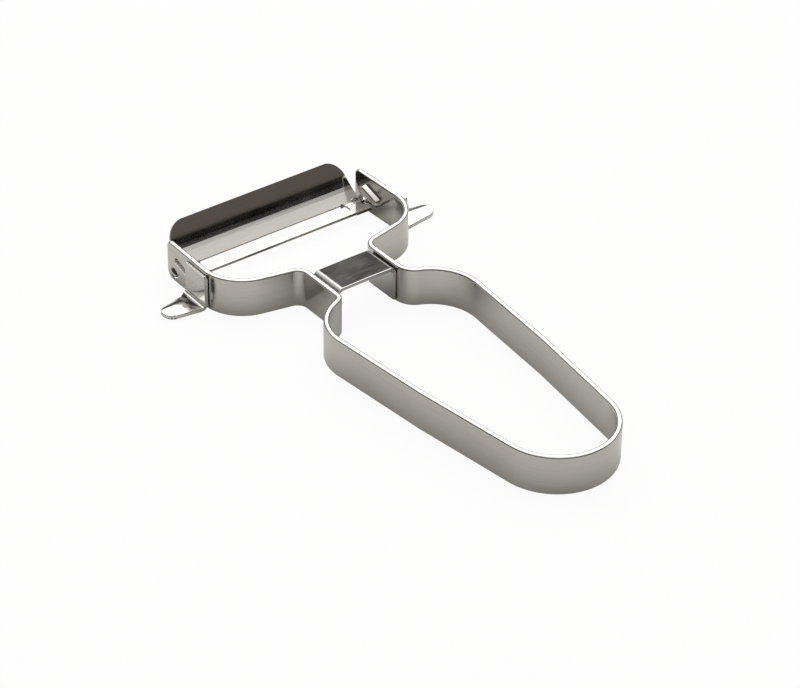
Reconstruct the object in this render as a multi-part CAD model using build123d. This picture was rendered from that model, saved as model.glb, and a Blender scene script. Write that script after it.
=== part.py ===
from build123d import *
import os
from math import atan2, cos, degrees, radians, sin, tan

# Vegetable peeler made of a bent steel strip, with a swivelling slotted blade across its head.
# Millimetres, +Z up, the strip stands on edge on the plane z = 0, +Y runs from the handle to the blade.
# The pieces are drawn around the middle of the neck, then moved so that the origin is the bottom centre.

# Strip that forms the handle, the neck and the two arms
strip_width = 11.0
strip_thickness = 1.5
strip_edge_chamfer = 0.35
neck_offset = 10.3
neck_front_length = 5.15
rear_corner_reach = 8.65
rear_bend_radius_right = 5.45
rear_bend_radius_left = 2.6
rear_bend_angle = 65.4
rear_shoulder_length = 3.9
handle_corner_radius = 13.65
handle_corner_angle = 69.3
side_length = 59.7
side_angle = 5.0
front_bend_radius = 3.6
front_bend_angle = 77.9
head_shoulder_length = 8.55
head_corner_radius = 11.7
head_corner_angle = 79.45
arm_length = 16.95
arm_top_radius = 1.5
arm_bottom_radius = 2.4

# Pivot holes, placed from the arm tips
pivot_setback = 3.35
pivot_z = 2.45
pivot_hole_radius = 1.65

# Stop rib pressed into each arm, placed from the arm tip: a ridge inside, a groove outside
rib_setback = 7.35
rib_centre_z = 6.05
rib_length = 7.9
rib_width = 2.64
rib_height = 1.3
rib_angle = 17.5
rib_draft = 18.0
rib_crest_radius = 0.3
groove_depth = 0.9
groove_margin = 0.3

# Channel that bridges the neck
bridge_sheet = 1.0
bridge_front_y = -5.9
bridge_length = 10.7
bridge_bend_radius = 2.2
bridge_crown_angle = 1.5
bridge_bottom_z = 0.8
bridge_edge_radius = 0.3

# Eye removers on the arms, placed from the arm tips
remover_sheet = 1.0
remover_setback = 19.55
remover_width = 9.2
remover_top_z = 10.4
remover_bottom_z = 0.15
remover_bend_radius = 0.8
remover_corner_radius = 0.8
tongue_length = 12.0
tongue_tip_radius = 3.2
tongue_tip_centre = 3.9
tongue_arch_height = 0.9
tongue_arch_start = 5.0
tongue_edge_radius = 0.3
sheet_overrun = 2.0

# Blade, made to fit between the arms
blade_sheet = 0.6
blade_end_gap = 0.65
wing_side_taper = 1.3
strip_front_reach = 4.85
blade_ear_reach = 5.15
blade_ear_length = 5.0
strip_rise_angle = 5.0
fold_angle = 40.0
fold_radius = 1.8
wing_length = 12.3
wing_turn_angle = 26.0
wing_corner_radius = 5.7
slot_end_web = 4.8
slot_width = 3.7
slot_centre_reach = 1.15
slot_corner_radius = 1.4
cutting_edge_land = 0.06
cutting_bevel_slope = 8.0
cutting_bevel_reach = 3.0
lug_clearance = 0.07
lug_proud = 0.45

cut_overrun = 30.0
match_tolerance = 0.001


def run_on(edge, length):
    # A straight run that carries on from the end of an edge
    return PolarLine(edge @ 1, length, direction=edge % 1)


def turn(edge, radius, angle):
    # An arc that carries on from the end of an edge, to the left when the angle is positive
    return JernArc(edge @ 1, edge % 1, radius, angle)


def handle_edges(shift, bend_radius):
    # The right half of the handle, from the middle of the neck to the middle of the handle end,
    # drawn at a distance outside the middle of the strip. The rear bend rounds the corner where
    # the lines of the neck and the shoulder meet, and a wider bend leaves that corner in its place.
    neck_x = neck_offset + shift
    tangent_length = bend_radius * tan(radians(rear_bend_angle / 2))
    neck = Line((neck_x, 0), (neck_x, tangent_length - rear_corner_reach))
    bend = turn(neck, bend_radius - shift, rear_bend_angle)
    shoulder = run_on(bend, rear_shoulder_length - tangent_length)
    corner = turn(shoulder, handle_corner_radius + shift, -handle_corner_angle)
    side = turn(corner, side_length / radians(side_angle) + shift, -side_angle)
    end_point = side @ 1
    end_heading = side % 1
    end_radius = -end_point.X / end_heading.Y
    end_angle = 180 + degrees(atan2(end_heading.Y, end_heading.X))
    return [neck, bend, shoulder, corner, side, turn(side, end_radius, -end_angle)]


def head_edges(shift):
    # The right half of the head, from the middle of the neck to the arm tip
    neck_x = neck_offset + shift
    neck = Line((neck_x, 0), (neck_x, neck_front_length))
    bend = turn(neck, front_bend_radius - shift, -front_bend_angle)
    shoulder = run_on(bend, head_shoulder_length)
    corner = turn(shoulder, head_corner_radius + shift, head_corner_angle)
    return [neck, bend, shoulder, corner, run_on(corner, arm_length)]


def arm_plane(shift, side):
    # A plane along the right arm, with local y upwards and its origin at the arm tip. It faces
    # outwards when side is 1, with local x towards the tip, and inwards when side is -1.
    arm = head_edges(shift)[-1]
    along = arm % 1
    outward = Vector(along.Y, -along.X, 0)
    return Plane(arm @ 1, x_dir=along * side, z_dir=outward * side)


def arm_face_x(shift):
    # How far the right arm's face lies from the middle, level with the pivot
    arm = head_edges(shift)[-1]
    along = arm % 1
    return (arm @ 1).X - ((arm @ 1).Y - pivot_y) * along.X / along.Y


def half_strip(bend_radius):
    half = strip_thickness / 2
    outer = handle_edges(half, bend_radius) + head_edges(half)
    inner = handle_edges(-half, bend_radius) + head_edges(-half)
    tip = Line(outer[-1] @ 1, inner[-1] @ 1)
    middle = Line(outer[5] @ 1, inner[5] @ 1)
    strip = extrude(make_face(Wire(outer + inner + [tip, middle])), strip_width)
    across = [edge for edge in strip.edges() if abs(edge.length - strip_thickness) < match_tolerance]
    tips = ShapeList(across).filter_by(lambda edge: (edge @ 0).X > strip_thickness)
    strip = fillet(tips.sort_by(Axis.Z)[0], arm_bottom_radius)
    across = [edge for edge in strip.edges() if abs(edge.length - strip_thickness) < match_tolerance]
    tips = ShapeList(across).filter_by(lambda edge: (edge @ 0).X > strip_thickness)
    strip = fillet(tips.sort_by(Axis.Z)[-1], arm_top_radius)
    return chamfer(rim_edges(strip), strip_edge_chamfer)


def rim_edges(strip):
    # Every long edge of the strip: not those across its thickness, nor the seams up its sides
    def on_rim(edge):
        across = abs(edge.length - strip_thickness) < match_tolerance
        seam = abs(edge.length - strip_width) < match_tolerance
        return not across and not seam
    return strip.edges().filter_by(on_rim)


def stop_rib():
    # The ridge stands inside the arm
    plane = arm_plane(-strip_thickness / 2, -1)
    outline = Pos(rib_setback, rib_centre_z) * SlotOverall(rib_length, rib_width, rotation=-rib_angle)
    ridge = extrude(plane * outline, rib_height, taper=rib_draft)
    crest = ridge.faces().sort_by(Axis.X)[0]
    return fillet(crest.edges(), rib_crest_radius)


def stop_groove():
    # The groove is open to the outside of the arm
    plane = arm_plane(strip_thickness / 2, -1)
    length = rib_length - groove_margin * 2
    width = rib_width - groove_margin * 2
    outline = Pos(rib_setback, rib_centre_z) * SlotOverall(length, width, rotation=-rib_angle)
    return extrude(plane * outline, groove_depth, taper=rib_draft)


def half_frame(bend_radius):
    pivot_plane = Plane((0, pivot_y, pivot_z), z_dir=(1, 0, 0))
    hole = extrude(pivot_plane * Circle(pivot_hole_radius), cut_overrun * 2)
    return half_strip(bend_radius) + stop_rib() - stop_groove() - hole


def handle_frame():
    # The two halves differ only in how sharply the rear end of the neck is bent
    left = mirror(half_frame(rear_bend_radius_left), about=Plane.YZ)
    return half_frame(rear_bend_radius_right) + left


def channel_edges(shift):
    # Outline of the bridge from its right foot over to its left foot, at a depth under its outer face
    foot_x = neck_offset - strip_thickness / 2
    bend_turn = 90 - bridge_crown_angle
    crown_half_chord = foot_x - bridge_bend_radius * (1 - sin(radians(bridge_crown_angle)))
    crown_radius = crown_half_chord / sin(radians(bridge_crown_angle))
    crown_rise = crown_radius * (1 - cos(radians(bridge_crown_angle)))
    bend_start_z = strip_width - crown_rise - bridge_bend_radius * cos(radians(bridge_crown_angle))
    right = Line((foot_x - shift, bridge_bottom_z), (foot_x - shift, bend_start_z))
    right_bend = turn(right, bridge_bend_radius - shift, bend_turn)
    crown = turn(right_bend, crown_radius - shift, bridge_crown_angle * 2)
    left_bend = turn(crown, bridge_bend_radius - shift, bend_turn)
    return [right, right_bend, crown, left_bend, run_on(left_bend, bend_start_z - bridge_bottom_z)]


def neck_bridge():
    outer = channel_edges(0)
    inner = channel_edges(bridge_sheet)
    feet = [Line(outer[0] @ 0, inner[0] @ 0), Line(outer[-1] @ 1, inner[-1] @ 1)]
    section = make_face(Wire(outer + inner + feet))
    plane = Plane((0, bridge_front_y, 0), x_dir=(1, 0, 0), z_dir=(0, -1, 0))
    channel = extrude(plane * section, -bridge_length)
    front = channel.faces().sort_by(Axis.Y)[0]
    back = channel.faces().sort_by(Axis.Y)[-1]
    rims = front.edges() + back.edges()
    long_rims = [edge for edge in rims if edge.length > bridge_sheet + match_tolerance]
    return fillet(long_rims, bridge_edge_radius)


def remover_bracket():
    # Flange and bend of the right eye remover, as an L section extruded along the arm
    bend_centre_u = remover_sheet + remover_bend_radius
    bend_centre_z = remover_bottom_z + bend_centre_u
    inner = Line((0, remover_top_z), (0, bend_centre_z))
    under = turn(inner, bend_centre_u, 90)
    outer = Line((remover_sheet, remover_top_z), (remover_sheet, bend_centre_z))
    over = turn(outer, remover_bend_radius, 90)
    top = Line(inner @ 0, outer @ 0)
    end = Line(under @ 1, over @ 1)
    section = make_face(Wire([inner, under, outer, over, top, end]))
    arm = arm_plane(strip_thickness / 2, 1)
    along = arm.x_dir
    plane = Plane(arm.origin - along * remover_setback, x_dir=arm.z_dir, z_dir=along * -1)
    bracket = extrude(plane * section, -remover_width)
    across = bracket.edges().filter_by(lambda edge: abs(edge.length - remover_sheet) < match_tolerance)
    corners = across.group_by(Axis.Z)[-1]
    return fillet(corners, remover_corner_radius)


def tongue_section(reach, arch):
    # Cross-section of the tongue at one distance out from the arm: a band whose middle rises by the arch
    arm = arm_plane(strip_thickness / 2, 1)
    origin = arm.origin - arm.x_dir * remover_setback + arm.z_dir * reach
    plane = Plane(origin, x_dir=arm.x_dir, z_dir=arm.z_dir)
    middle = remover_width / 2
    low = remover_bottom_z
    high = remover_bottom_z + remover_sheet
    if arch == 0:
        bottom = Line((0, low), (remover_width, low))
        top = Line((0, high), (remover_width, high))
    else:
        bottom = ThreePointArc((0, low), (middle, low + arch), (remover_width, low))
        top = ThreePointArc((0, high), (middle, high + arch), (remover_width, high))
    ends = [Line(bottom @ 0, top @ 0), Line(bottom @ 1, top @ 1)]
    return plane * make_face(Wire([bottom, top] + ends))


def tongue_rim(tongue):
    # The upper edges of the tongue, all but the one where it leaves the bend
    upward = [face for face in tongue.faces() if face.normal_at().Z > match_tolerance]
    root = tongue.faces().sort_by(Axis.X)[0]
    rims = [edge for face in upward for edge in face.edges()]

    def is_inner(edge):
        shared = [other for other in rims if (other @ 0.5 - edge @ 0.5).length < match_tolerance]
        at_root = [other for other in root.edges() if (other @ 0.5 - edge @ 0.5).length < match_tolerance]
        return len(shared) > 1 or len(at_root) > 0
    return [edge for edge in rims if not is_inner(edge)]


def remover_tongue():
    bend_end = remover_sheet + remover_bend_radius
    flat = tongue_section(bend_end, 0)
    arched = tongue_section(tongue_arch_start, tongue_arch_height)
    beyond = tongue_section(tongue_length + sheet_overrun, tongue_arch_height)
    roof = loft([flat, arched], ruled=False) + loft([arched, beyond], ruled=True)
    arm = arm_plane(strip_thickness / 2, 1)
    plane = Plane(arm.origin - arm.x_dir * remover_setback, x_dir=arm.z_dir, z_dir=(0, 0, 1))
    tip = Pos(tongue_length - tongue_tip_radius, tongue_tip_centre) * Rot(Z=180) * Circle(tongue_tip_radius)
    root = Line((bend_end, 0), (bend_end, remover_width))
    outline = make_hull(tip.edges() + root.edges())
    tongue = roof & extrude(plane * outline, cut_overrun)
    return fillet(tongue_rim(tongue), tongue_edge_radius)


def eye_remover_right():
    return remover_bracket() + remover_tongue()


def eye_remover_left():
    return mirror(eye_remover_right(), about=Plane.YZ)


def blade_edges(shift, front_reach):
    # Outline of the blade's section, in local x = Y and y = Z from the pivot, at a height over its middle:
    # a short front strip, the fold at the pivot and the long wing
    heading = radians(strip_rise_angle)
    fold_tangent = fold_radius * tan(radians(fold_angle / 2))
    across = Vector(sin(heading), cos(heading))
    start = Vector(-front_reach * cos(heading), front_reach * sin(heading)) + across * shift
    front = PolarLine(start, front_reach - fold_tangent, direction=(cos(heading), -sin(heading)))
    fold = turn(front, fold_radius - shift, fold_angle)
    wing = turn(fold, wing_length / radians(wing_turn_angle) - shift, wing_turn_angle)
    return [front, fold, wing]


def blade_section(front_reach):
    upper = blade_edges(blade_sheet / 2, front_reach)
    lower = blade_edges(-blade_sheet / 2, front_reach)
    ends = [Line(upper[0] @ 0, lower[0] @ 0), Line(upper[-1] @ 1, lower[-1] @ 1)]
    return make_face(Wire(upper + lower + ends))


def wing_outline():
    # The blade's outline seen square to the wing: it narrows to the top, with rounded top corners
    top = blade_edges(0, strip_front_reach)[-1] @ 1
    chord = top.length
    points = [
        (-blade_half_length, -cut_overrun),
        (blade_half_length, -cut_overrun),
        (blade_half_length, 0),
        (blade_half_length - wing_side_taper, chord),
        (wing_side_taper - blade_half_length, chord),
        (-blade_half_length, 0),
    ]
    outline = make_face(Polyline(*points, close=True))
    corners = outline.vertices().group_by(Axis.Y)[-1]
    plane = Plane((0, pivot_y, pivot_z), x_dir=(1, 0, 0), z_dir=(0, -top.Y / chord, top.X / chord))
    return extrude(plane * fillet(corners, wing_corner_radius), cut_overrun, both=True)


def front_relief():
    # Sets the front strip back from the ears at the blade's two ends
    back_y = pivot_y - strip_front_reach * cos(radians(strip_rise_angle))
    front_y = back_y - cut_overrun
    flare = blade_ear_reach - strip_front_reach
    ear_x = blade_half_length - blade_ear_length
    points = [
        (-ear_x, back_y),
        (ear_x, back_y),
        (ear_x + flare, back_y - flare),
        (ear_x + flare, front_y),
        (-ear_x - flare, front_y),
        (-ear_x - flare, back_y - flare),
    ]
    return extrude(make_face(Polyline(*points, close=True)), cut_overrun)


def slot_cut():
    centre_y = pivot_y - slot_centre_reach
    opening = RectangleRounded((blade_half_length - slot_end_web) * 2, slot_width, slot_corner_radius)
    return extrude(Pos(0, centre_y) * opening, cut_overrun)


def cutting_bevel(sheet):
    # A wedge that grinds the slot's rear edge sharp from below, up to a thin land on the upper face
    rear_y = pivot_y - slot_centre_reach + slot_width / 2
    rear = sheet.edges().filter_by(lambda edge: abs((edge @ 0.5).Y - rear_y) < match_tolerance)
    edge_z = rear.sort_by(Axis.Z)[-1].center().Z - cutting_edge_land
    slope = radians(cutting_bevel_slope)
    back_y = rear_y + cutting_bevel_reach * cos(slope)
    bottom_z = edge_z - cutting_bevel_reach
    points = [
        (rear_y, edge_z),
        (back_y, edge_z + cutting_bevel_reach * sin(slope)),
        (back_y, bottom_z),
        (rear_y - slot_width / 2, bottom_z),
        (rear_y - slot_width / 2, edge_z),
    ]
    profile = Plane.YZ * make_face(Polyline(*points, close=True))
    return extrude(profile, blade_half_length - slot_end_web - slot_corner_radius, both=True)


def pivot_lug(section):
    # The tongue at each end of the blade is the blade's own section, trimmed to turn in the pivot hole
    reach = pivot_hole_radius - lug_clearance
    profile = section & Circle(reach)
    plane = Plane((0, pivot_y, pivot_z), x_dir=(0, 1, 0), z_dir=(1, 0, 0))
    return extrude(plane * profile, arm_face_x(strip_thickness / 2) + lug_proud, both=True)


def swivel_blade():
    plane = Plane((0, pivot_y, pivot_z), x_dir=(0, 1, 0), z_dir=(1, 0, 0))
    section = blade_section(blade_ear_reach)
    sheet = extrude(plane * section, blade_half_length, both=True)
    sheet = sheet & wing_outline()
    sheet = sheet - front_relief() + pivot_lug(section) - slot_cut()
    return sheet - cutting_bevel(sheet)


def single_solid(shape):
    solids = shape.solids()
    if len(solids) != 1:
        raise ValueError("a piece must be one solid")
    return solids[0]


pivot_y = (head_edges(0)[-1] @ 1).Y - pivot_setback
blade_half_length = arm_face_x(-strip_thickness / 2) - blade_end_gap

pieces = {
    "handle_frame": single_solid(handle_frame()),
    "neck_bridge": single_solid(neck_bridge()),
    "eye_remover_left": single_solid(eye_remover_left()),
    "eye_remover_right": single_solid(eye_remover_right()),
    "swivel_blade": single_solid(swivel_blade()),
}

box = Compound(children=[Solid(piece.wrapped) for piece in pieces.values()]).bounding_box()
origin_y = (box.min.Y + box.max.Y) / 2

os.makedirs("parts", exist_ok=True)
for name, piece in pieces.items():
    placed = Pos(0, -origin_y, 0) * piece
    placed.label = name
    export_step(placed, "parts/" + name + ".step")

print("box", box.min, box.max)
print("pivot", pivot_y - origin_y, pivot_z)
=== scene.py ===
# %% [markdown]
# # A vegetable peeler in polished steel
# This notebook dresses a peeler that was first built as CAD solids. Everything here is in metres, in the
# same frame as the solids: the strip stands on the floor at z = 0, and +Y runs from the handle to the blade.
# The solids give the places. New pieces are modelled over them where smooth bends and round rims matter,
# because polished metal shows every facet of a plain mesh.

import math

import bmesh
import bpy
from mathutils import Matrix, Vector


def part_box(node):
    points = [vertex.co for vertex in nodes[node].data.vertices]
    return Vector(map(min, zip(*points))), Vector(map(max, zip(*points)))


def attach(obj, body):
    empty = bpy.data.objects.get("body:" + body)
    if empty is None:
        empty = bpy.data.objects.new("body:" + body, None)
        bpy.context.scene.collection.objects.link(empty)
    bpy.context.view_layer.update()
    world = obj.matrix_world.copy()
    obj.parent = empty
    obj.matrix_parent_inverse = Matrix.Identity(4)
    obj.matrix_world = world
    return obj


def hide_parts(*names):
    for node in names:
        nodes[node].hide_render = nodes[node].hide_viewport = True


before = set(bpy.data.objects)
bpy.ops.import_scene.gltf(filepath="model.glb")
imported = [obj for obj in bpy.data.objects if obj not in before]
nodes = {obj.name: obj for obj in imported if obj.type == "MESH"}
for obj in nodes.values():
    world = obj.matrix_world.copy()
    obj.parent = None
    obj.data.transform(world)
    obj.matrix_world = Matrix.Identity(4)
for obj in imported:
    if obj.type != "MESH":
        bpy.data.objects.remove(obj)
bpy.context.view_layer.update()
mm = 0.001
up = Vector((0, 0, 1))
forwards = Vector((0, 1, 0))
print("solids:", ", ".join(sorted(nodes)))

# %% [markdown]
# ## Camera
# The camera stands where it shows the object as the reference view does: to the front left, looking down
# at about 35 degrees, with a long lens. Its three axes are worked out from the view's angles, so the frame
# can be turned by the small roll as well.

# %% Set the camera
view_azimuth = math.radians(-37.854)
view_elevation = math.radians(34.613)
view_roll = math.radians(0.859)
view_distance = 752.62 * mm
view_target = Vector((-1.344, 4.28, 0)) * mm
sensor_width = 36
picture_width = 800
focal_length_in_pixels = 2983.245

right = Vector((math.cos(view_azimuth), math.sin(view_azimuth), 0))
back = Vector((
    math.sin(view_azimuth) * math.cos(view_elevation),
    -math.cos(view_azimuth) * math.cos(view_elevation),
    math.sin(view_elevation),
))
above = back.cross(right)
camera_x = right * math.cos(view_roll) + above * math.sin(view_roll)
camera_y = above * math.cos(view_roll) - right * math.sin(view_roll)

camera = bpy.data.objects.new("camera", bpy.data.cameras.new("camera"))
bpy.context.scene.collection.objects.link(camera)
camera.data.sensor_width = sensor_width
camera.data.lens = sensor_width * focal_length_in_pixels / picture_width
turned = Matrix((camera_x, camera_y, back)).transposed().to_4x4()
camera.matrix_world = Matrix.Translation(view_target + back * view_distance) @ turned
bpy.context.scene.camera = camera
bpy.context.scene.view_settings.view_transform = "Standard"
print("camera at", [round(value, 3) for value in camera.matrix_world.translation])

# %% [markdown]
# ## Helpers for colours and nodes
# Colours are written as the hex values that a paint program shows. Blender works with linear light, so one
# function converts them. Another adds a node to a tree with its settings and links, which keeps the materials
# below short enough to read.

# %% Helpers for materials
def linear(code):
    def channel(value):
        return value / 12.92 if value <= 0.04045 else ((value + 0.055) / 1.055) ** 2.4
    return tuple(channel(int(code[start:start + 2], 16) / 255) for start in (1, 3, 5)) + (1,)


def add_node(tree, kind, settings=None, inputs=None):
    node = tree.nodes.new("ShaderNode" + kind)
    for key, value in (settings or {}).items():
        setattr(node, key, value)
    for key, value in (inputs or {}).items():
        if isinstance(value, bpy.types.NodeSocket):
            tree.links.new(value, node.inputs[key])
        else:
            node.inputs[key].default_value = value
    return node


def empty_material(name):
    material = bpy.data.materials.new(name)
    material.use_nodes = True
    material.node_tree.nodes.clear()
    return material, material.node_tree


# %% [markdown]
# ## Steel
# Every piece of this peeler is stainless steel sheet. A metal in Blender is a Principled shader with
# Metallic at 1, whose base colour is what it reflects. What tells one piece from another is how it was
# finished, so one function makes a steel from its colour, its roughness, the spacing and depth of its
# polishing lines, and how wavy the sheet is.

# %% A function for polished steel
smear_size = 9 * mm
smear_dulling = (0.85, 1.25)  # shares of the roughness, in a clean patch and in a smeared one
line_dulling = 0.025  # the most that a polishing line adds to the roughness or takes from it
line_tint = (0.93, 1.05)  # shares of the colour, in a dark line and in a bright one


def steel(name, colour, roughness, line_spacing, line_depth, wave_size, wave_depth, lean=0):
    material, tree = empty_material(name)
    place = add_node(tree, "TexCoord").outputs["Object"]

    # Polishing lines: a noise that is squeezed across the lines and stretched along them
    stretched = add_node(tree, "Mapping", inputs={
        "Vector": place, "Scale": [1 / (spacing * mm) for spacing in line_spacing]})
    lines = add_node(tree, "TexNoise", inputs={
        "Vector": stretched.outputs["Vector"], "Scale": 1.0, "Detail": 3.0, "Roughness": 0.6})
    # Handling smears: soft patches about a centimetre wide that are a little duller
    smears = add_node(tree, "TexNoise", inputs={
        "Vector": place, "Scale": 1 / smear_size, "Detail": 4.0, "Roughness": 0.55})
    # The sheet is never quite flat, which is what bends the reflections in it
    waves = add_node(tree, "TexNoise", inputs={
        "Vector": place, "Scale": 1 / (wave_size * mm), "Detail": 1.0, "Roughness": 0.4})

    dull = add_node(tree, "MapRange", inputs={
        "Value": smears.outputs["Fac"], "From Min": 0.3, "From Max": 0.75,
        "To Min": roughness * smear_dulling[0], "To Max": roughness * smear_dulling[1]})
    streaky = add_node(tree, "MapRange", inputs={
        "Value": lines.outputs["Fac"], "From Min": 0.3, "From Max": 0.7,
        "To Min": -line_dulling, "To Max": line_dulling})
    total = add_node(tree, "Math", {"operation": "ADD"}, {
        0: dull.outputs["Result"], 1: streaky.outputs["Result"]})

    tint = add_node(tree, "MapRange", inputs={
        "Value": lines.outputs["Fac"], "From Min": 0.25, "From Max": 0.75,
        "To Min": line_tint[0], "To Max": line_tint[1]})
    shade = add_node(tree, "VectorMath", {"operation": "SCALE"}, {
        0: linear(colour)[:3], "Scale": tint.outputs["Result"]})

    wavy = add_node(tree, "Bump", inputs={
        "Height": waves.outputs["Fac"], "Strength": 1.0, "Distance": wave_depth * mm})
    lined = add_node(tree, "Bump", inputs={
        "Height": lines.outputs["Fac"], "Strength": 1.0, "Distance": line_depth * mm,
        "Normal": wavy.outputs["Normal"]})
    if lean:
        # A lean turns what a level face mirrors by twice its angle, here towards the dark gap in the room
        along_y = add_node(tree, "SeparateXYZ", inputs={0: place})
        slope = add_node(tree, "Math", {"operation": "MULTIPLY"}, {
            0: along_y.outputs["Y"], 1: -math.tan(math.radians(lean))})
        lined = add_node(tree, "Bump", inputs={
            "Height": slope.outputs[0], "Strength": 1.0, "Distance": 1.0, "Normal": lined.outputs["Normal"]})
    surface = add_node(tree, "BsdfPrincipled", inputs={
        "Base Color": shade.outputs["Vector"], "Metallic": 1.0,
        "Roughness": total.outputs["Value"], "Normal": lined.outputs["Normal"]})
    add_node(tree, "OutputMaterial", inputs={"Surface": surface.outputs["BSDF"]})
    print("steel made:", name)
    return material


# %% [markdown]
# The strip is buffed along its length, so its lines lie level. The bridge's top looks darker than the strip
# from the reference view. It is taken for a ground sheet, a little rougher, with scratches across the neck,
# whose face leans seven degrees away from the viewer. The lean is in the shading alone: the mesh stays
# level. The eye removers are bright stampings, and the lines of the blade run from lug to lug.

# %% The four steels, with their spacings, sizes and depths in millimetres
polished_strip = steel(
    "polished_stainless_strip", "#BDBAB5", roughness=0.13,
    line_spacing=(14, 14, 0.35), line_depth=0.0010, wave_size=16, wave_depth=0.03)
ground_sheet = steel(
    "ground_stainless_sheet", "#A6A5A1", roughness=0.17,
    line_spacing=(9, 0.3, 9), line_depth=0.004, wave_size=9, wave_depth=0.008, lean=7)
stamped_tongues = steel(
    "stamped_stainless_tongues", "#C3C1BC", roughness=0.14,
    line_spacing=(6, 6, 0.4), line_depth=0.0012, wave_size=8, wave_depth=0.02)
hardened_blade = steel(
    "hardened_blade_steel", "#BBB8B4", roughness=0.11,
    line_spacing=(12, 0.3, 0.3), line_depth=0.0010, wave_size=14, wave_depth=0.012)


def give(piece, material):
    piece.data.materials.clear()
    piece.data.materials.append(material)


finishes = {
    "handle_frame": polished_strip,
    "neck_bridge": ground_sheet,
    "eye_remover_left": stamped_tongues,
    "eye_remover_right": stamped_tongues,
    "swivel_blade": hardened_blade,
}
for node_name, material in finishes.items():
    give(nodes[node_name], material)

# %% [markdown]
# ## Moves that bend sheet metal
# A sheet is bent round a pin: it runs straight, turns with a radius, and runs on. In Blender the same two
# moves are Extrude and Spin, applied to the outline of the sheet's section. Both helpers give back the place
# and the heading that the section has reached, so the next move can carry on from there. Spin turns the
# other way without a window, hence the minus sign.

# %% Helpers for modelling
spin_step = 3.0  # degrees of bend in each step
same_place = 0.01 * mm
sharp_from = math.radians(60)
smooth_within = math.radians(35)


def only(piece):
    bpy.ops.object.select_all(action="DESELECT")
    piece.select_set(True)
    bpy.context.view_layer.objects.active = piece


def edit(piece):
    only(piece)
    bpy.ops.object.mode_set(mode="EDIT")


def run_on(place, heading, length):
    step = heading * length
    bpy.ops.mesh.extrude_region_move(TRANSFORM_OT_translate={"value": step})
    return place + step, heading


def bend(place, heading, radius, angle, axis=up):
    centre = place + axis.cross(heading) * math.copysign(radius, angle)
    bpy.ops.mesh.spin(
        steps=max(2, round(abs(angle) / spin_step)), angle=-math.radians(angle), center=centre, axis=axis)
    turned = Matrix.Rotation(math.radians(angle), 3, axis)
    return centre + turned @ (place - centre), turned @ heading


def choose(piece, test, kind="VERT"):
    bpy.ops.mesh.select_mode(type=kind)
    bpy.ops.mesh.select_all(action="DESELECT")
    mesh = bmesh.from_edit_mesh(piece.data)
    for part in {"VERT": mesh.verts, "EDGE": mesh.edges, "FACE": mesh.faces}[kind]:
        if test(part):
            part.select_set(True)
    mesh.select_flush(True)
    bmesh.update_edit_mesh(piece.data)


def round_rims(radius, segments):
    bpy.ops.mesh.select_mode(type="EDGE")
    bpy.ops.mesh.select_all(action="DESELECT")
    bpy.ops.mesh.edges_select_sharp(sharpness=sharp_from)
    bpy.ops.mesh.bevel(offset=radius, segments=segments, affect="EDGES", clamp_overlap=False)


def tidy_normals():
    bpy.ops.mesh.select_all(action="SELECT")
    bpy.ops.mesh.remove_doubles(threshold=same_place)
    bpy.ops.mesh.normals_make_consistent(inside=False)


def apply_modifier(piece, kind, **settings):
    only(piece)
    modifier = piece.modifiers.new(kind.lower(), kind)
    for key, value in settings.items():
        setattr(modifier, key, value)
    bpy.ops.object.modifier_apply(modifier=modifier.name)


def smooth(piece):
    only(piece)
    bpy.ops.object.shade_smooth_by_angle(angle=smooth_within)
    apply_modifier(piece, "WEIGHTED_NORMAL", keep_sharp=True)


def join(pieces, name):
    bpy.ops.object.select_all(action="DESELECT")
    for piece in pieces:
        piece.select_set(True)
    bpy.context.view_layer.objects.active = pieces[0]
    bpy.ops.object.join()
    pieces[0].name = name
    return pieces[0]


# %% [markdown]
# ## The bent strip
# The handle, neck, head and arms of the real peeler are one steel strip, 11 mm wide and 1.5 mm thick. It
# could be a curve with a bevel, but then the rims and the pivot holes would be hard to add. Here it is bent
# as the real one is, one half at a time from the neck. The halves differ: the rear end of the neck is bent
# sharper on the left, and both bends round the same corner, so the handle still meets in its middle.

# %% Sizes of the strip
strip_width = 11.0 * mm
strip_thickness = 1.5 * mm
neck_offset = 10.3 * mm
bridge_reach = 5.9 * mm
neck_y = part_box("neck_bridge")[0].y + bridge_reach
neck_start = Vector((neck_offset, neck_y, strip_width / 2))

neck_front_length = 5.15 * mm
front_bend_radius, front_bend_angle = 3.6 * mm, 77.9
head_shoulder_length = 8.55 * mm
head_corner_radius, head_corner_angle = 11.7 * mm, 79.45
arm_length = 16.95 * mm

rear_corner_reach = 8.65 * mm
rear_bend_radii = {"right": 5.45 * mm, "left": 2.6 * mm}
rear_bend_angle = 65.4
rear_shoulder_length = 3.9 * mm
handle_corner_radius, handle_corner_angle = 13.65 * mm, 69.3
side_length, side_angle = 59.7 * mm, 5.0


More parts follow.
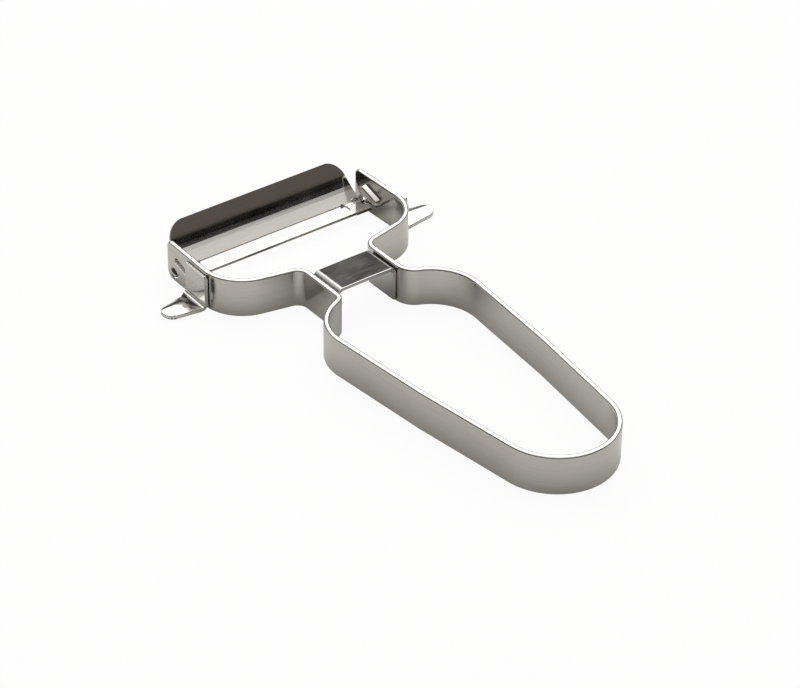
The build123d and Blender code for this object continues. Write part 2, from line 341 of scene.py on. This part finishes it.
# %% Bend one half
def bent_half(name, rear_bend_radius):
    bpy.ops.object.select_all(action="DESELECT")
    bpy.ops.mesh.primitive_plane_add(size=1, location=neck_start, rotation=(math.radians(90), 0, 0))
    half = bpy.context.object
    half.name = name
    half.scale = (strip_thickness, strip_width, 1)
    bpy.ops.object.transform_apply(location=True, rotation=True, scale=True)
    bpy.ops.object.mode_set(mode="EDIT")
    bpy.ops.mesh.delete(type="ONLY_FACE")
    bpy.ops.mesh.select_all(action="SELECT")

    place, heading = run_on(neck_start, forwards, neck_front_length)
    place, heading = bend(place, heading, front_bend_radius, -front_bend_angle)
    place, heading = run_on(place, heading, head_shoulder_length)
    place, heading = bend(place, heading, head_corner_radius, head_corner_angle)
    arm_tip, arm_heading = run_on(place, heading, arm_length)
    bpy.ops.mesh.edge_face_add()

    choose(half, lambda vertex: abs(vertex.co.y - neck_y) < same_place)
    rear_tangent = rear_bend_radius * math.tan(math.radians(rear_bend_angle / 2))
    place, heading = run_on(neck_start, -forwards, rear_corner_reach - rear_tangent)
    place, heading = bend(place, heading, rear_bend_radius, rear_bend_angle)
    place, heading = run_on(place, heading, rear_shoulder_length - rear_tangent)
    place, heading = bend(place, heading, handle_corner_radius, -handle_corner_angle)
    place, heading = bend(place, heading, side_length / math.radians(side_angle), -side_angle)
    end_radius = -place.x / heading.y
    end_angle = 180 + math.degrees(math.atan2(heading.y, heading.x))
    place, heading = bend(place, heading, end_radius, -end_angle)
    bpy.ops.object.mode_set(mode="OBJECT")
    print(name, "ends at", [round(value / mm, 2) for value in place])
    return half, arm_tip, arm_heading


right_half, arm_tip, arm_heading = bent_half("right_half", rear_bend_radii["right"])
left_half, _, _ = bent_half("left_half", rear_bend_radii["left"])
left_half.scale.x = -1
only(left_half)
bpy.ops.object.transform_apply(location=False, rotation=False, scale=True)
strip = join([right_half, left_half], "bent_strip")

# %% [markdown]
# The halves are merged where they meet and their faces made to point outwards. The arm tips get their round
# corners first, and then every sharp rim of the strip is rounded at once, as tumbling in abrasive rounds the
# real one. A flat is left along the middle, which is what gives each rim a white band between thin lines.

# %% Merge the strip and round its corners and rims
arm_corner_radii = {0: 2.4 * mm, strip_width: 1.5 * mm}
rim_radius = 0.56 * mm
tip_zone = 0.2 * mm
corner_segments = 10
rim_segments = 6

edit(strip)
tidy_normals()
for height, radius in arm_corner_radii.items():
    choose(strip, lambda vertex: abs(vertex.co.z - height) < same_place
           and vertex.co.y > arm_tip.y - tip_zone)
    bpy.ops.mesh.bevel(offset=radius, segments=corner_segments, affect="EDGES", clamp_overlap=False)
round_rims(rim_radius, rim_segments)
bpy.ops.object.mode_set(mode="OBJECT")
print("strip faces:", len(strip.data.polygons))

# %% [markdown]
# ## Stop ribs, grooves and pivot holes
# A slanted rib is pressed into each arm: a ridge inside, a groove outside. The blade's ears stop against the
# ridges. Both shapes start as a circle that is stretched to a slot, and Inset with a depth draws the face in
# as it rises, which is the draft of the press tool. Booleans then add the ridges and take away the rest.

# %% Press the ribs and grooves, punch the holes
rib_setback = 7.35 * mm
rib_centre_z = 6.05 * mm
rib_length = 7.9 * mm
rib_width = 2.64 * mm
rib_height = 1.3 * mm
rib_angle = math.radians(17.5)
draft = math.tan(math.radians(18))
rib_crest_radius = 0.3 * mm
rib_crest_segments = 3
rib_outline_points = 40
groove_depth = 0.9 * mm
groove_margin = 0.3 * mm
press_overrun = 0.4 * mm
pivot_setback = 3.35 * mm
pivot_z = 2.45 * mm
pivot_hole_radius = 1.65 * mm
pivot_hole_points = 64
punch_length = arm_tip.x * 4  # long enough to pass through both arms
pivot_y = arm_tip.y - pivot_setback
arm_outward = arm_heading.cross(up)


def pressed_slot(name, length, width, depth, crest_radius, face_offset):
    bpy.ops.object.select_all(action="DESELECT")
    bpy.ops.mesh.primitive_circle_add(vertices=rib_outline_points, radius=width / 2, fill_type="NGON")
    slot = bpy.context.object
    slot.name = name
    bpy.ops.object.mode_set(mode="EDIT")
    for side in (1, -1):
        choose(slot, lambda vertex: vertex.co.x * side > same_place)
        bpy.ops.transform.translate(value=((length - width) / 2 * side, 0, 0))
    choose(slot, lambda face: True, "FACE")
    bpy.ops.mesh.inset(thickness=depth * draft, depth=depth)
    if crest_radius:
        bpy.ops.mesh.region_to_loop()
        bpy.ops.mesh.bevel(offset=crest_radius, segments=rib_crest_segments, affect="EDGES")
    choose(slot, lambda edge: edge.is_boundary, "EDGE")
    bpy.ops.mesh.extrude_region_move(TRANSFORM_OT_translate={"value": (0, 0, -press_overrun)})
    bpy.ops.mesh.edge_face_add()
    tidy_normals()
    bpy.ops.object.mode_set(mode="OBJECT")

    inwards = -arm_outward
    along = -arm_heading * math.cos(rib_angle) - up * math.sin(rib_angle)
    across = inwards.cross(along)
    centre = arm_tip - arm_heading * rib_setback + arm_outward * face_offset
    centre.z = rib_centre_z
    turned = Matrix((along, across, inwards)).transposed().to_4x4()
    slot.matrix_world = Matrix.Translation(centre) @ turned
    only(slot)
    bpy.ops.object.transform_apply(location=True, rotation=True, scale=True)
    apply_modifier(slot, "MIRROR")
    edit(slot)
    bpy.ops.mesh.select_all(action="SELECT")
    bpy.ops.mesh.normals_make_consistent(inside=False)
    bpy.ops.object.mode_set(mode="OBJECT")
    return slot


def combine(piece, tool, operation):
    apply_modifier(piece, "BOOLEAN", operation=operation, object=tool, solver="EXACT")
    bpy.data.objects.remove(tool)


half_thickness = strip_thickness / 2
ridges = pressed_slot("ridges", rib_length, rib_width, rib_height, rib_crest_radius, -half_thickness)
groove_tool = pressed_slot(
    "groove_tool", rib_length - groove_margin * 2, rib_width - groove_margin * 2,
    groove_depth, 0, half_thickness)
bpy.ops.object.select_all(action="DESELECT")
bpy.ops.mesh.primitive_cylinder_add(
    vertices=pivot_hole_points, radius=pivot_hole_radius, depth=punch_length,
    location=(0, pivot_y, pivot_z), rotation=(0, math.radians(90), 0))
punch = bpy.context.object
bpy.ops.object.transform_apply(location=True, rotation=True, scale=True)
combine(strip, ridges, "UNION")
combine(strip, groove_tool, "DIFFERENCE")
combine(strip, punch, "DIFFERENCE")
print("pivot at y", round(pivot_y / mm, 3), "mm, strip faces:", len(strip.data.polygons))

# %% Finish the strip
smooth(strip)
give(strip, polished_strip)
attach(strip, "handle")
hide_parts("handle_frame")

# %% [markdown]
# ## The bridge in the neck
# A short channel of sheet joins the two sides of the neck. It is bent with the same two moves as the strip,
# but about the Y axis: up one side, over a slightly crowned top and down the other side.

# %% Bend the bridge and round its edges
bridge_thickness = 1.0 * mm
bridge_length = 10.7 * mm
bridge_bend_radius = 2.2 * mm
bridge_crown_angle = 1.5
bridge_bottom_z = 0.8 * mm
bridge_edge_radius = 0.3 * mm
bridge_edge_segments = 4
half_sheet = bridge_thickness / 2
crown_tilt = math.radians(bridge_crown_angle)
foot_x = neck_offset - half_thickness
crown_radius = (foot_x - bridge_bend_radius * (1 - math.sin(crown_tilt))) / math.sin(crown_tilt)
crown_rise = crown_radius * (1 - math.cos(crown_tilt))
foot_height = strip_width - crown_rise - bridge_bend_radius * math.cos(crown_tilt) - bridge_bottom_z
foot_turn = 90 - bridge_crown_angle
towards_camera = -forwards

bridge_middle_y = neck_y - bridge_reach + bridge_length / 2
foot_start = Vector((foot_x - half_sheet, bridge_middle_y, bridge_bottom_z))
bpy.ops.object.select_all(action="DESELECT")
bpy.ops.mesh.primitive_plane_add(size=1, location=foot_start)
bridge = bpy.context.object
bridge.name = "bent_bridge"
bridge.scale = (bridge_thickness, bridge_length, 1)
bpy.ops.object.transform_apply(location=True, rotation=True, scale=True)
bpy.ops.object.mode_set(mode="EDIT")
bpy.ops.mesh.select_all(action="SELECT")
place, heading = run_on(foot_start, up, foot_height)
place, heading = bend(place, heading, bridge_bend_radius - half_sheet, foot_turn, towards_camera)
place, heading = bend(place, heading, crown_radius - half_sheet, bridge_crown_angle * 2, towards_camera)
place, heading = bend(place, heading, bridge_bend_radius - half_sheet, foot_turn, towards_camera)
place, heading = run_on(place, heading, foot_height)
tidy_normals()
round_rims(bridge_edge_radius, bridge_edge_segments)
bpy.ops.object.mode_set(mode="OBJECT")
smooth(bridge)
give(bridge, ground_sheet)
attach(bridge, "handle")
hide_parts("neck_bridge")
print("bridge faces:", len(bridge.data.polygons), "left foot at", [round(value / mm, 2) for value in place])

# %% [markdown]
# ## Eye removers and blade
# These solids already have the right forms, but their meshes are loose triangles that shade as facets. A
# copy is merged and its flat faces are made whole again. The sharp upper edges of the eye removers are broken
# by a narrow bevel. It stays narrow because a wider one would shoot past the small corner rounds.
#
# Some forms show in the view that the solids lack, and they are made on the copies. The tongues are narrower
# on the side towards the blade. The plates above them slope a little towards the arm at the top. The strip
# in front of the slot is level, so that it mirrors the light as the rims do, and its front face slopes. The
# slot's rear edge has a small lip that faces the viewer and shows as a dark line.

# %% Reshape the copies
near_side = Vector((0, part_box("eye_remover_left")[0].y, 0))
narrowings = (  # beyond this x, to this share of the width, fading over this length
    (35.0 * mm, 0.9, "SMOOTH", 2.5 * mm),
    (40.0 * mm, 0.89, "LINEAR", 6.0 * mm))
plate_top_z = 10.3 * mm
plate_middle_x = 31.95 * mm
plate_slope_drop = Vector((0, 0, -0.2)) * mm

fold_start = Vector((0, pivot_y - 0.66 * mm, pivot_z))
blade_half_length = 29.05 * mm
strip_rise = math.radians(4.5)
strip_front_y = 57.0 * mm
strip_middle_z = 2.9 * mm
front_face_slope = Vector((0, 0.25, 0)) * mm
slot_rear_y = 62.45 * mm
slot_straight_half = 23 * mm
slot_edge_reach = same_place * 2
cutting_edge_z = 3.27 * mm
lip_drop = Vector((0, -0.3, -0.22)) * mm
lip_face = Vector((0, -0.08, -0.24)) * mm


def shape_remover(piece):
    for start_x, share, falloff, fade in narrowings:
        choose(piece, lambda vertex: abs(vertex.co.x) > start_x)
        bpy.ops.transform.resize(
            value=(1, share, 1), center_override=near_side, use_proportional_edit=True,
            proportional_edit_falloff=falloff, proportional_size=fade)
    choose(piece, lambda vertex: vertex.co.z > plate_top_z and abs(vertex.co.x) < plate_middle_x)
    bpy.ops.transform.translate(value=plate_slope_drop)


def shape_blade(piece):
    def behind_slot(vertex, y):
        return abs(vertex.co.y - y) < slot_edge_reach and abs(vertex.co.x) < slot_straight_half

    choose(piece, lambda vertex: behind_slot(vertex, slot_rear_y))
    bpy.ops.transform.translate(value=lip_drop)
    choose(piece, lambda vertex: behind_slot(vertex, slot_rear_y + lip_drop.y)
           and vertex.co.z < cutting_edge_z + lip_drop.z)
    bpy.ops.transform.translate(value=lip_face)
    choose(piece, lambda vertex: vertex.co.y < strip_front_y and vertex.co.z > strip_middle_z)
    bpy.ops.transform.translate(value=front_face_slope)
    choose(piece, lambda vertex: vertex.co.y < fold_start.y and abs(vertex.co.x) < blade_half_length)
    bpy.ops.transform.rotate(value=-strip_rise, orient_axis="X", center_override=fold_start)


# %% Copy, merge and soften
merge_within = same_place / 5
flat_within = math.radians(0.4)
remover_bend_top = 2.1 * mm
remover_edge_radius = 0.12 * mm
remover_edge_segments = 2


def softened(node_name, name, reshape, edge_radius, body):
    piece = bpy.data.objects.new(name, nodes[node_name].data.copy())
    bpy.context.scene.collection.objects.link(piece)
    edit(piece)
    bpy.ops.mesh.select_all(action="SELECT")
    bpy.ops.mesh.remove_doubles(threshold=merge_within)
    bpy.ops.mesh.dissolve_limited(angle_limit=flat_within)
    bpy.ops.mesh.normals_make_consistent(inside=False)
    reshape(piece)
    if edge_radius:
        choose(piece, lambda edge: len(edge.link_faces) == 2
               and edge.calc_face_angle() > sharp_from
               and min(vertex.co.z for vertex in edge.verts) > remover_bend_top, "EDGE")
        bpy.ops.mesh.bevel(
            offset=edge_radius, segments=remover_edge_segments, affect="EDGES", clamp_overlap=False)
    bpy.ops.object.mode_set(mode="OBJECT")
    smooth(piece)
    give(piece, finishes[node_name])
    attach(piece, body)
    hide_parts(node_name)
    print(name, "faces:", len(piece.data.polygons))


softened("eye_remover_left", "left_tongue", shape_remover, remover_edge_radius, "handle")
softened("eye_remover_right", "right_tongue", shape_remover, remover_edge_radius, "handle")
softened("swivel_blade", "slotted_blade", shape_blade, 0, "blade")

# %% [markdown]
# ## Floor, softbox and surroundings
# Polished metal has hardly a colour of its own: it shows its surroundings. The studio is a pale table under
# a wide softbox that hangs behind the object. In front the room is dim up to a dark beam below the ceiling,
# which gives the blade's wing its black band. Behind, a bright wall ends below a dark gap under the softbox:
# the wall lights the far sides of the tongues, and the bridge's top mirrors the gap.

# %% Floor
floor_size = 30
floor_gap = 0.02 * mm  # keeps the floor clear of the strip's lower rim
glow_for_camera = 0.94  # the share of even white that the camera sees in place of the lit table
glow_in_reflections = 0.1  # the same share where steel mirrors the table

bpy.ops.object.select_all(action="DESELECT")
bpy.ops.mesh.primitive_plane_add(size=floor_size, location=(0, 0, -floor_gap))
floor = bpy.context.object
floor.name = "floor"
pale_table, tree = empty_material("pale_table")
ray = add_node(tree, "LightPath")
seen = add_node(tree, "Math", {"operation": "MULTIPLY"}, {
    0: ray.outputs["Is Camera Ray"], 1: glow_for_camera})
mirrored = add_node(tree, "Math", {"operation": "MULTIPLY"}, {
    0: ray.outputs["Is Glossy Ray"], 1: glow_in_reflections})
either = add_node(tree, "Math", {"operation": "ADD"}, {0: seen.outputs[0], 1: mirrored.outputs[0]})
through = add_node(tree, "Math", {"operation": "ADD", "use_clamp": True}, {
    0: either.outputs[0], 1: ray.outputs["Is Transmission Ray"]})
lit = add_node(tree, "BsdfDiffuse", inputs={"Color": linear("#D0CFCC")})
glow = add_node(tree, "Emission", inputs={"Color": (1, 1, 1, 1), "Strength": 1.0})
mixed = add_node(tree, "MixShader", inputs={0: through.outputs[0], 1: lit.outputs[0], 2: glow.outputs[0]})
add_node(tree, "OutputMaterial", inputs={"Surface": mixed.outputs[0]})
give(floor, pale_table)

# %% Softbox
softbox_height = 1.5
softbox_back_elevation = math.radians(30)
softbox_near_elevation = math.radians(78)
softbox_back = softbox_height / math.tan(softbox_back_elevation)
softbox_near = softbox_height / math.tan(softbox_near_elevation)
softbox_half_width = 1.1
softbox_radiance = 2.6
softbox = bpy.data.objects.new("softbox", bpy.data.lights.new("softbox", "AREA"))
bpy.context.scene.collection.objects.link(softbox)
softbox.data.shape = "RECTANGLE"
softbox.data.size = softbox_half_width * 2
softbox.data.size_y = softbox_back - softbox_near
softbox.data.energy = softbox_radiance * math.pi * softbox.data.size * softbox.data.size_y
away = -Vector((back.x, back.y, 0)).normalized()
softbox_middle = away * (softbox_back + softbox_near) / 2 + up * softbox_height
softbox.matrix_world = Matrix.Translation(softbox_middle) @ Matrix.Rotation(view_azimuth, 4, "Z")
softbox.visible_camera = False
print("softbox", round(softbox.data.size, 2), "x", round(softbox.data.size_y, 2), "m")

# %% World
world = bpy.data.worlds.new("studio")
bpy.context.scene.world = world
world.use_nodes = True
tree = world.node_tree
tree.nodes.clear()
direction = add_node(tree, "TexCoord").outputs["Generated"]
height = add_node(tree, "SeparateXYZ", inputs={0: direction}).outputs["Z"]
dim_wall = (0.17, 0.155, 0.14)
dark_beam = (0.008, 0.008, 0.007)
pale_ceiling = (1.15, 1.15, 1.13)
bright_wall = (0.82, 0.81, 0.79)
dark_gap = (0.05, 0.05, 0.05)
seam = (-0.05, 0.15)  # where the front half of the room fades into the rear half
colour_a, colour_b, colour_result = 6, 7, 2  # the Mix node's colour sockets; others have the same names


def room_side(steps):
    ramp = add_node(tree, "ValToRGB", inputs={"Fac": height})
    elements = ramp.color_ramp.elements
    while len(elements) < len(steps):
        elements.new(0.5)
    for element, (elevation, colour) in zip(elements, steps):
        element.position = math.sin(math.radians(elevation))
        element.color = colour + (1,)
    return ramp.outputs["Color"]


# Each step is an elevation above the horizon in degrees, with the colour there
front_side = room_side([
    (0, dim_wall), (33, dim_wall), (35.5, dark_beam), (44.5, dark_beam),
    (46.5, pale_ceiling), (90, pale_ceiling)])
rear_side = room_side([
    (0, bright_wall), (11, bright_wall), (14, dark_gap), (27, dark_gap),
    (30, pale_ceiling), (90, pale_ceiling)])
backwards = add_node(tree, "VectorMath", {"operation": "DOT_PRODUCT"}, {0: direction, 1: away})
behind = add_node(tree, "MapRange", inputs={
    "Value": backwards.outputs["Value"], "From Min": seam[0], "From Max": seam[1]})
walls = add_node(tree, "Mix", {"data_type": "RGBA"}, {
    "Factor": behind.outputs["Result"], colour_a: front_side, colour_b: rear_side})
ray = add_node(tree, "LightPath")
room = add_node(tree, "Background", inputs={"Color": walls.outputs[colour_result], "Strength": 1.0})
white = add_node(tree, "Background", inputs={"Color": (1, 1, 1, 1), "Strength": 1.0})
mixed = add_node(tree, "MixShader", inputs={
    0: ray.outputs["Is Camera Ray"], 1: room.outputs[0], 2: white.outputs[0]})
add_node(tree, "OutputWorld", inputs={"Surface": mixed.outputs[0]})
